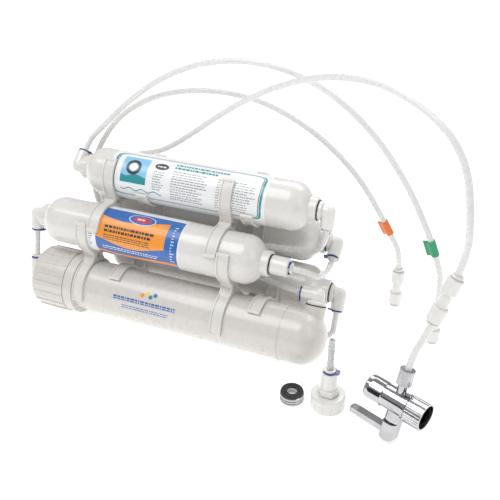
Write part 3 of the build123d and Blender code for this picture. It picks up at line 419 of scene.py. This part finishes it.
class Palette:
    """Every finish of the unit, built once."""

    def __init__(self) -> None:
        """Builds the node materials."""
        self.housing = MouldedPlastic(
            "ivory_polypropylene", (0.685, 0.655, 0.62), (0.665, 0.635, 0.60), 0.28, 0.35
        ).build()
        self.filter = MouldedPlastic(
            "white_polypropylene", (0.755, 0.735, 0.71), (0.74, 0.72, 0.69), 0.24, 0.40
        ).build()
        self.fitting = MouldedPlastic(
            "white_acetal", (0.80, 0.79, 0.77), (0.76, 0.75, 0.72), 0.22, 0.40, 1400.0, 0.00001
        ).build()
        self.clip = MouldedPlastic(
            "satin_nylon", (0.74, 0.72, 0.69), (0.72, 0.70, 0.665), 0.36, 0.15, 700.0, 0.00001
        ).build()
        self.lock = MouldedPlastic(
            "navy_acetal",
            (0.020, 0.045, 0.26),
            (0.012, 0.028, 0.18),
            0.26,
            0.4,
            1400.0,
            0.00001,
            0.0,
        ).build()
        self.tube = MilkyTube(
            "milky_polyethylene", (0.80, 0.80, 0.79), (0.77, 0.77, 0.755), 0.04
        ).build()
        self.stub = MilkyTube(
            "clear_polyethylene", (0.84, 0.85, 0.85), (0.76, 0.77, 0.77), 0.45
        ).build()
        self.rubber = Rubber(
            "black_nitrile", (0.045, 0.045, 0.048), (0.012, 0.012, 0.013)
        ).build()
        self.chrome = PlatedMetal(
            "bright_chrome", (0.52, 0.52, 0.53), (0.42, 0.42, 0.435), 0.07
        ).build()
        self.mesh_steel = PlatedMetal(
            "woven_steel", (0.50, 0.50, 0.50), (0.35, 0.35, 0.35), 0.30
        ).build()
        self.media = PressedGrains(
            "pressed_carbon", (0.10, 0.10, 0.10), (0.02, 0.02, 0.02)
        ).build()
        self.membrane = MouldedPlastic(
            "membrane_tape", (0.62, 0.70, 0.80), (0.50, 0.58, 0.70), 0.35, 0.2
        ).build()
        self.film = PrintedInk("white_film", (0.87, 0.88, 0.89), (0.84, 0.85, 0.86)).build()
        self.green_flag = PrintedInk(
            "green_vinyl", (0.03, 0.36, 0.17), (0.02, 0.29, 0.13)
        ).build()
        self.orange_flag = PrintedInk(
            "orange_vinyl", (0.86, 0.20, 0.03), (0.76, 0.15, 0.02)
        ).build()


# -------------------------------------------------------------------------- cords
PRODUCT_POINTS = [
    (-0.1563, 0.0355, 0.1552),
    (-0.1563, 0.0591, 0.1737),
    (-0.1373, 0.0533, 0.1900),
    (-0.0993, 0.0623, 0.2280),
    (-0.0493, 0.0633, 0.2630),
    (0.0077, 0.0633, 0.2840),
    (0.0667, 0.0633, 0.2860),
    (0.1217, 0.0633, 0.2690),
    (0.1727, 0.0633, 0.2310),
    (0.2117, 0.0623, 0.1820),
    (0.2387, 0.0613, 0.1340),
    (0.2547, 0.0603, 0.0960),
    (0.2597, 0.0603, 0.0740),
    (0.2597, 0.0603, 0.0355),
]
DRAIN_POINTS = [
    (-0.1403, 0.0419, 0.0538),
    (-0.1403, 0.0471, 0.0833),
    (-0.1503, 0.0483, 0.1100),
    (-0.1553, 0.0553, 0.1380),
    (-0.1453, 0.0603, 0.1660),
    (-0.1213, 0.0673, 0.2020),
    (-0.0803, 0.0733, 0.2300),
    (-0.0313, 0.0793, 0.2430),
    (0.0267, 0.0883, 0.2420),
    (0.0797, 0.0973, 0.2210),
    (0.1247, 0.1043, 0.1880),
    (0.1567, 0.1083, 0.1530),
    (0.1787, 0.1103, 0.1190),
    (0.1947, 0.1123, 0.0910),
    (0.2067, 0.1143, 0.0680),
    (0.2067, 0.1143, 0.0355),
]
FEED_POINTS = [
    (-0.1533, 0.0674, 0.1014),
    (-0.1533, 0.0823, 0.1227),
    (-0.1413, 0.0913, 0.1380),
    (-0.1153, 0.0943, 0.1480),
    (-0.0773, 0.0873, 0.1600),
    (-0.0353, 0.0783, 0.1900),
    (0.0047, 0.0683, 0.2220),
    (0.0487, 0.0563, 0.2530),
    (0.0947, 0.0433, 0.2780),
    (0.1427, 0.0273, 0.2940),
    (0.1877, 0.0103, 0.2970),
    (0.2267, -0.0117, 0.2890),
    (0.2547, -0.0287, 0.2750),
    (0.2727, -0.0417, 0.2520),
    (0.2807, -0.0507, 0.2200),
    (0.2854, -0.0550, 0.1834),
    (0.2761, -0.0617, 0.1514),
]
TAIL_POINTS = [
    (0.2707, -0.0657, 0.1326),
    (0.2614, -0.0724, 0.1006),
    (0.2550, -0.0769, 0.0853),
    (0.2527, -0.0827, 0.0621),
]


@dataclass(frozen=True)
class WaterTube:
    """A free length of stiff 6.35 mm tube that springs out of a fitting in an arch."""

    name: str
    node: str
    points: list[tuple[float, float, float]]
    length: float
    carries: tuple[str, ...]

    def build(self, material: bpy.types.Material, nodes: dict[str, bpy.types.Object]) -> None:
        """Args:
            material: The tube's finish.
            nodes: The model's nodes; not used.
        """
        curve = bpy.data.curves.new(self.name, "CURVE")
        curve.dimensions = "3D"
        curve.bevel_depth = TUBE_DIAMETER / 2
        curve.bevel_resolution = 8
        curve.resolution_u = 16
        curve.use_fill_caps = True
        spline = curve.splines.new("NURBS")
        spline.points.add(len(self.points) - 1)
        for point, place in zip(spline.points, self.points):
            point.co = (*place, 1.0)
        spline.order_u = 3
        spline.use_endpoint_u = True
        curve.materials.append(material)
        piece = bpy.data.objects.new(self.name, curve)
        bpy.context.scene.collection.objects.link(piece)
        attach(piece, "unit")
        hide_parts(self.node)
        LOG.info("%s: %.0f mm of tube", self.name, self.length / MM)


class WaterTubes:
    """The three long tubes and the short tail that ends in the tap diverter."""

    def __init__(self) -> None:
        """Lists each tube with the pieces that it carries."""
        diverter = tuple(
            f"diverter_{name}"
            for name in (
                "ball_stem",
                "body",
                "end_cap",
                "lever",
                "lever_screw",
                "outlet_nut",
                "screen",
                "swivel_nut",
                "washer",
            )
        )
        self.tubes = [
            WaterTube(
                "product_water_tube",
                "product_tube",
                PRODUCT_POINTS,
                0.6257,
                ("product_union", "product_release_collet", "product_tag"),
            ),
            WaterTube(
                "drain_water_tube",
                "drain_tube",
                DRAIN_POINTS,
                0.6106,
                ("drain_union", "drain_release_collet", "drain_tag"),
            ),
            WaterTube(
                "feed_water_tube",
                "feed_tube",
                FEED_POINTS,
                0.6454,
                ("feed_union", "union_collets"),
            ),
            WaterTube("feed_tail", "feed_tail_tube", TAIL_POINTS, 0.075, diverter),
        ]

    def build(self, palette: Palette, nodes: dict[str, bpy.types.Object]) -> None:
        """Draws every tube and hides the model's plain tube nodes."""
        for tube in self.tubes:
            tube.build(palette.tube, nodes)


# ------------------------------------------------------------------ carried nodes
class CarriedNodes:
    """The model's own solids, each dressed in its finish."""

    def __init__(self, nodes: dict[str, bpy.types.Object]) -> None:
        """Keeps the nodes."""
        self.nodes = nodes

    def finish_of(self, name: str, palette: Palette) -> bpy.types.Material:
        """Chooses a node's finish from its name.

        Args:
            name: The node's name.
            palette: The built finishes.

        Returns:
            The material.
        """
        exact = {
            "diverter_screen": palette.mesh_steel,
            "diverter_washer": palette.rubber,
            "filter_media_blocks": palette.media,
            "membrane_element": palette.membrane,
            "product_tag": palette.green_flag,
            "drain_tag": palette.orange_flag,
            "port_seals": palette.rubber,
            "membrane_cap_oring": palette.rubber,
            "membrane_brine_seal": palette.rubber,
            "adapter_washer": palette.rubber,
            "tap_adapter_washer": palette.rubber,
            "tap_adapter_ring": palette.chrome,
            "locking_clips": palette.lock,
            "adapter_locking_clip": palette.lock,
            "adapter_stub_tube": palette.stub,
            "membrane_housing": palette.housing,
            "membrane_cap": palette.housing,
            "rear_feet": palette.clip,
        }
        if name in exact:
            return exact[name]
        if name.startswith("diverter_"):
            return palette.chrome
        if name.startswith("link_tube") or name.endswith("_tube"):
            return palette.tube
        if name.endswith("_label"):
            return palette.film
        if name.endswith("_clips"):
            return palette.clip
        if "filter" in name and ("shell" in name or "cap" in name):
            return palette.filter
        return palette.fitting

    def dress(self, palette: Palette) -> None:
        """Assigns each node's material slots."""
        for name, node in self.nodes.items():
            material = self.finish_of(name, palette)
            for slot in node.material_slots:
                slot.material = material
        LOG.info("dressed %d nodes", len(self.nodes))


# ------------------------------------------------------------------------- labels
@dataclass(frozen=True)
class Wrap:
    """Print wrapped on a housing; places are X in millimetres and an angle in degrees.

    The angle runs round the axis from +Y toward +Z.
    """

    housing: Housing
    radius: float

    def points(self, x: np.ndarray, angle: np.ndarray, layer: int) -> np.ndarray:
        """Puts flat places on the cylinder: Y and Z are radius times cosine and sine.

        Args:
            x: Places along the housing in millimetres.
            angle: Angles in degrees.
            layer: Ink layer; each lies INK_STEP above the last.

        Returns:
            Points in metres.
        """
        reach = self.radius + INK_LIFT + INK_STEP * layer
        turn = np.radians(angle)
        local = np.stack([reach * np.cos(turn), reach * np.sin(turn), x * MM], axis=-1)
        return self.housing.seat().place(local)

    def panel(
        self,
        name: str,
        x_range: Range,
        edges: tuple[Edge, Edge],
        ink: bpy.types.Material,
        layer: int,
    ) -> None:
        """Prints a panel between two angle edges that may be functions of X.

        Args:
            name: The piece's name.
            x_range: First and last X in millimetres.
            edges: Low and high angle in degrees, or functions of an X array.
            ink: The finish.
            layer: Ink layer.
        """
        x = np.linspace(*x_range, PANEL_STEPS)
        low, high = (edge(x) if callable(edge) else np.full_like(x, edge) for edge in edges)
        share = np.linspace(0.0, 1.0, PANEL_STEPS)[:, None]
        angle = high * (1 - share) + low * share
        points = self.points(np.broadcast_to(x, angle.shape), angle, layer)
        mesh_piece(name, points, grid_faces(PANEL_STEPS, PANEL_STEPS, False), ink)

    def ring(
        self,
        name: str,
        centre: Range,
        half: Range,
        inner: float,
        power: float,
        ink: bpy.types.Material,
        layer: int,
    ) -> None:
        """Prints a superellipse ring or disc: |u|^power + |v|^power = 1, scaled by half.

        Args:
            name: The piece's name.
            centre: X in millimetres and angle in degrees.
            half: Half sizes in millimetres and degrees.
            inner: Share of the outline where the ink starts; DISC for a disc.
            power: 2 for an ellipse, more for a rounded rectangle.
            ink: The finish.
            layer: Ink layer.
        """
        turn = np.linspace(0.0, 2 * np.pi, RING_STEPS, endpoint=False)
        cosine, sine = np.cos(turn), np.sin(turn)
        grow = (np.abs(cosine) ** power + np.abs(sine) ** power) ** (-1.0 / power)
        share = np.linspace(inner, 1.0, RING_BANDS)[:, None]
        x = centre[0] + half[0] * share * grow * cosine
        angle = centre[1] - half[1] * share * grow * sine
        faces = grid_faces(RING_BANDS, RING_STEPS, True)
        mesh_piece(name, self.points(x, angle, layer), faces, ink)

    def words(
        self,
        name: str,
        x_range: Range,
        angles: Iterable[float],
        height: float,
        ink: bpy.types.Material,
        layer: int,
        seed: int,
    ) -> None:
        """Prints rows of short bars that stand for illegible small print.

        Args:
            name: The piece's name.
            x_range: First and last X in millimetres.
            angles: The middle angle of each row in degrees.
            height: Bar height in degrees.
            ink: The finish.
            layer: Ink layer.
            seed: Picks the word lengths.
        """
        rng = np.random.default_rng(seed)
        lines = np.array(list(angles), dtype=float)
        count = int((x_range[1] - x_range[0]) / WORD_PITCH)
        lengths = rng.uniform(*WORD_LENGTH, (len(lines), count))
        starts = np.cumsum(lengths + WORD_GAP, axis=1) - lengths + x_range[0]
        rows = np.repeat(lines, count)
        start, length = starts.reshape(-1), lengths.reshape(-1)
        stop = x_range[0] + (x_range[1] - x_range[0]) * rng.uniform(*LINE_FILL, len(lines))
        kept = start + length < np.repeat(stop, count)
        start, length, rows = start[kept], length[kept], rows[kept]
        x = start[:, None] + length[:, None] * np.array([0.0, 1.0, 1.0, 0.0])
        angle = rows[:, None] + height * np.array([0.5, 0.5, -0.5, -0.5])
        faces = np.arange(4 * len(start)).reshape(-1, 4)
        mesh_piece(name, self.points(x, angle, layer), faces, ink)


class Inks:
    """The label inks, built once."""

    def __init__(self) -> None:
        """Builds the node materials."""
        self.blue = PrintedInk("label_blue", (0.035, 0.17, 0.52), (0.022, 0.12, 0.42)).build()
        self.orange = PrintedInk("label_orange", (0.92, 0.36, 0.05), (0.85, 0.28, 0.03)).build()
        self.white = PrintedInk("label_white", (0.88, 0.88, 0.88), (0.84, 0.84, 0.84)).build()
        self.dark = PrintedInk("label_dark", (0.05, 0.06, 0.08), (0.03, 0.035, 0.05)).build()
        self.grey = PrintedInk("label_grey", (0.30, 0.32, 0.34), (0.24, 0.26, 0.28)).build()
        self.teal = PrintedInk("label_teal", (0.03, 0.33, 0.36), (0.02, 0.26, 0.30)).build()
        self.sky = PrintedInk("label_sky", (0.32, 0.62, 0.86), (0.22, 0.52, 0.80)).build()
        self.red = PrintedInk("label_red", (0.70, 0.05, 0.05), (0.60, 0.03, 0.03)).build()
        self.yellow = PrintedInk("label_yellow", (0.90, 0.68, 0.10), (0.85, 0.60, 0.06)).build()


@dataclass(frozen=True)
class FrontLabel:
    """Blue film with orange waves, an oval badge and a white edge band."""

    wrap: Wrap = Wrap(Housing.FRONT, LABEL_RADIUS)

    def build(self, inks: Inks) -> None:
        """Prints the layers from the bottom up."""
        wrap = self.wrap
        wrap.panel("front_print_blue", (-97.0, 1.0), (87.0, 234.0), inks.blue, 0)
        wrap.panel(
            "front_print_orange",
            (-97.0, -14.0),
            (
                lambda x: 112.0 + 10.0 * np.sin((x + 97.0) / 20.0),
                lambda x: 176.0 + 9.0 * np.sin((x + 80.0) / 16.0),
            ),
            inks.orange,
            1,
        )
        wrap.panel(
            "front_print_low_orange",
            (-97.0, 1.0),
            (
                lambda x: 205.0 + 4.0 * np.sin((x + 90.0) / 18.0),
                lambda x: 216.0 + 4.0 * np.sin((x + 84.0) / 18.0),
            ),
            inks.orange,
            1,
        )
        wrap.ring("front_badge_rim", (-47.0, 107.0), (16.0, 15.0), DISC, 2.0, inks.white, 2)
        wrap.ring("front_badge_blue", (-47.0, 107.0), (15.0, 13.6), DISC, 2.0, inks.blue, 3)
        wrap.ring("front_badge_red", (-47.0, 107.0), (10.5, 8.4), DISC, 2.0, inks.red, 4)
        wrap.words("front_badge_line", (-54.0, -39.0), (107.0,), 5.0, inks.white, 5, 4)
        wrap.words("front_title", (-88.0, -20.0), (140.0, 150.0), 6.0, inks.dark, 2, 5)
        wrap.words("front_small", (-88.0, -22.0), (160.0, 165.0, 170.0), 2.0, inks.dark, 2, 6)
        wrap.words("front_white", (-8.0, -1.0), range(110, 200, 7), 2.2, inks.white, 2, 7)
        wrap.words("front_foot", (-90.0, -6.0), (190.0, 196.0), 2.2, inks.white, 2, 8)
        for number, (angle, ink) in enumerate(
            ((100.0, inks.red), (117.0, inks.blue), (134.0, inks.dark), (148.0, inks.blue))
        ):
            wrap.ring(f"front_edge_{number}", (-103.0, angle), (2.6, 5.0), DISC, 4.0, ink, 0)
        wrap.words("front_edge_lines", (-106.5, -99.5), range(160, 202, 6), 2.0, inks.grey, 0, 9)


@dataclass(frozen=True)
class UpperLabel:
    """White film with a rounded border, a small picture and columns of small print."""

    wrap: Wrap = Wrap(Housing.UPPER, LABEL_RADIUS)

    def build(self, inks: Inks) -> None:
        """Prints the layers from the bottom up."""
        wrap = self.wrap
        wrap.ring("upper_border", (-9.5, 147.0), (87.5, 58.0), 0.972, 14.0, inks.teal, 0)
        wrap.ring("upper_border_line", (-9.5, 147.0), (84.4, 55.4), 0.990, 14.0, inks.dark, 0)
        wrap.panel("upper_picture_sky", (-86.0, -55.0), (102.0, 169.0), inks.sky, 0)
        wrap.panel(
            "upper_picture_water",
            (-86.0, -55.0),
            (lambda x: 150.0 + 3.0 * np.sin((x + 86.0) / 4.0), 169.0),
            inks.teal,
            1,
        )
        wrap.ring("upper_picture_ring", (-72.0, 130.0), (9.0, 19.0), 0.62, 2.0, inks.dark, 2)
        wrap.ring("upper_picture_drop", (-72.0, 130.0), (5.0, 10.5), DISC, 1.5, inks.white, 3)
        wrap.ring("upper_badge", (-40.0, 117.0), (8.0, 9.0), DISC, 2.0, inks.dark, 0)
        wrap.words("upper_badge_line", (-46.0, -34.0), (117.0,), 4.0, inks.white, 1, 11)
        wrap.panel(
            "upper_flourish",
            (-86.0, -36.0),
            (
                lambda x: 183.0 + 3.0 * np.sin((x + 86.0) / 2.4),
                lambda x: 185.6 + 3.0 * np.sin((x + 86.0) / 2.4),
            ),
            inks.teal,
            0,
        )
        wrap.words("upper_heading", (-26.0, 40.0), (104.0, 113.0), 5.0, inks.teal, 0, 12)
        wrap.words("upper_left_column", (-26.0, 20.0), range(124, 194, 6), 2.2, inks.grey, 0, 13)
        wrap.words("upper_right_column", (26.0, 72.0), range(124, 194, 6), 2.2, inks.grey, 0, 14)
        wrap.words("upper_small", (-48.0, -32.0), range(132, 176, 6), 2.2, inks.grey, 0, 15)


@dataclass(frozen=True)
class HousingPrint:
    """A line of blue print and four coloured dots on the membrane housing."""

    wrap: Wrap = Wrap(Housing.MEMBRANE, HOUSING_RADIUS)

    def build(self, inks: Inks) -> None:
        """Prints the dots and the lines."""
        colours = (inks.orange, inks.yellow, inks.teal, inks.blue)
        for number, ink in enumerate(colours):
            angle = 135.0 + 3.0 * (-1) ** number
            place = (-36.0 + 5.0 * number, angle)
            self.wrap.ring(f"housing_dot_{number}", place, (2.4, 4.6), DISC, 2.0, ink, 0)
        self.wrap.words("housing_title", (-71.0, 13.0), (154.0,), 8.0, inks.blue, 0, 21)
        self.wrap.words("housing_line", (-60.0, 4.0), (168.0, 173.0), 2.2, inks.blue, 0, 22)


# -------------------------------------------------------------------------- stage
@dataclass(frozen=True)
class Studio:
    """Pale floor, soft lights and the camera."""

    azimuth: float = 22.19
    elevation: float = 31.5
    distance: float = 0.7505
    target: tuple[float, float, float] = (0.0620, 0.0162, 0.0976)
    lens: float = 50.54

    def camera(self) -> None:
        """Sets the camera on the circle given by azimuth, elevation and distance."""
        turn = math.radians(self.azimuth)
        rise = math.radians(self.elevation)
        back = Vector(
            (math.sin(turn) * math.cos(rise), -math.cos(turn) * math.cos(rise), math.sin(rise))
        )
        data = bpy.data.cameras.new("camera")
        data.lens = self.lens
        data.sensor_width = 36.0
        data.clip_start = 0.01
        camera = bpy.data.objects.new("camera", data)
        camera.location = Vector(self.target) + back * self.distance
        camera.rotation_euler = back.to_track_quat("Z", "Y").to_euler()
        bpy.context.scene.collection.objects.link(camera)
        bpy.context.scene.camera = camera

    def floor(self) -> None:
        """Lays a pale floor whose colour varies very slightly."""
        graph = Graph("pale_floor")
        cloud = graph.noise(3.0, 2.0)
        graph.feed(
            graph.ramp(cloud, [(0.3, (0.90, 0.90, 0.90)), (0.7, (0.93, 0.93, 0.93))]), "Base Color"
        )
        graph.fix(
            Roughness=0.6,
            Specular_IOR_Level=0.2,
            Emission_Color=(1.0, 1.0, 1.0, 1.0),
            Emission_Strength=0.50,
        )
        mesh = bpy.data.meshes.new("floor")
        reach = 12.0
        mesh.from_pydata(
            [(-reach, -reach, 0), (reach, -reach, 0), (reach, reach, 0), (-reach, reach, 0)],
            [],
            [(0, 1, 2, 3)],
        )
        mesh.materials.append(graph.material)
        floor = bpy.data.objects.new("floor", mesh)
        bpy.context.scene.collection.objects.link(floor)

    def card(self, name: str, place: tuple[float, float], width: float) -> None:
        """Stands a dark card on the floor, facing the object, for the plating to mirror.

        Args:
            name: The card's name.
            place: Its X and Y.
            width: Its width; it is half as high.
        """
        graph = Graph(name)
        cloud = graph.noise(6.0, 2.0)
        graph.feed(
            graph.ramp(cloud, [(0.3, (0.02, 0.02, 0.02)), (0.7, (0.04, 0.04, 0.04))]), "Base Color"
        )
        graph.fix(Roughness=0.9)
        middle = np.array(place)
        across = np.array([-middle[1], middle[0]]) / np.linalg.norm(middle) * width / 2
        ends = [middle - across, middle + across, middle + across, middle - across]
        heights = (0.02, 0.02, width / 2, width / 2)
        mesh = bpy.data.meshes.new(name)
        corners = [(float(end[0]), float(end[1]), high) for end, high in zip(ends, heights)]
        mesh.from_pydata(corners, [], [(0, 1, 2, 3)])
        mesh.materials.append(graph.material)
        card = bpy.data.objects.new(name, mesh)
        bpy.context.scene.collection.objects.link(card)
        card.visible_diffuse = False
        card.visible_shadow = False
        card.visible_camera = False

    def light(
        self,
        name: str,
        place: tuple[float, float, float],
        size: tuple[float, float],
        power: float,
    ) -> None:
        """Hangs one soft box that faces the object.

        Args:
            name: The light's name.
            place: Where it hangs.
            size: Its width and height.
            power: Its power in watts.
        """
        data = bpy.data.lights.new(name, "AREA")
        data.shape = "RECTANGLE"
        data.size, data.size_y = size
        data.energy = power
        light = bpy.data.objects.new(name, data)
        light.location = place
        aim = Vector((0.04, 0.0, 0.08)) - Vector(place)
        light.rotation_euler = aim.to_track_quat("-Z", "Y").to_euler()
        bpy.context.scene.collection.objects.link(light)

    def build(self) -> None:
        """Builds the stage."""
        world = bpy.data.worlds.new("studio")
        world.use_nodes = True
        background = world.node_tree.nodes["Background"]
        background.inputs["Color"].default_value = (1.0, 1.0, 1.0, 1.0)
        background.inputs["Strength"].default_value = 0.44
        bpy.context.scene.world = world
        self.floor()
        bpy.context.scene.view_settings.view_transform = "Standard"
        self.light("key_softbox", (-0.5, -0.5, 1.6), (1.0, 1.0), 13.5)
        self.light("back_softbox", (0.2, 1.2, 1.5), (1.6, 0.8), 15.0)
        self.light("side_softbox", (1.3, -0.3, 0.9), (0.6, 1.0), 3.0)
        self.card("right_flag", (0.75, -0.75), 0.9)
        self.card("left_flag", (-0.55, -1.1), 0.7)
        self.camera()


def main() -> None:
    """Builds the unit's looks in order and logs each tube's length and the number of dressed
    nodes.
    """
    logging.basicConfig(level=logging.INFO, format="%(message)s")
    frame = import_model()
    nodes = frame["nodes"]
    palette = Palette()
    Studio().build()
    WaterTubes().build(palette, nodes)
    CarriedNodes(nodes).dress(palette)
    inks = Inks()
    for print_work in (FrontLabel(), UpperLabel(), HousingPrint()):
        print_work.build(inks)


if __name__ == "__main__":
    main()
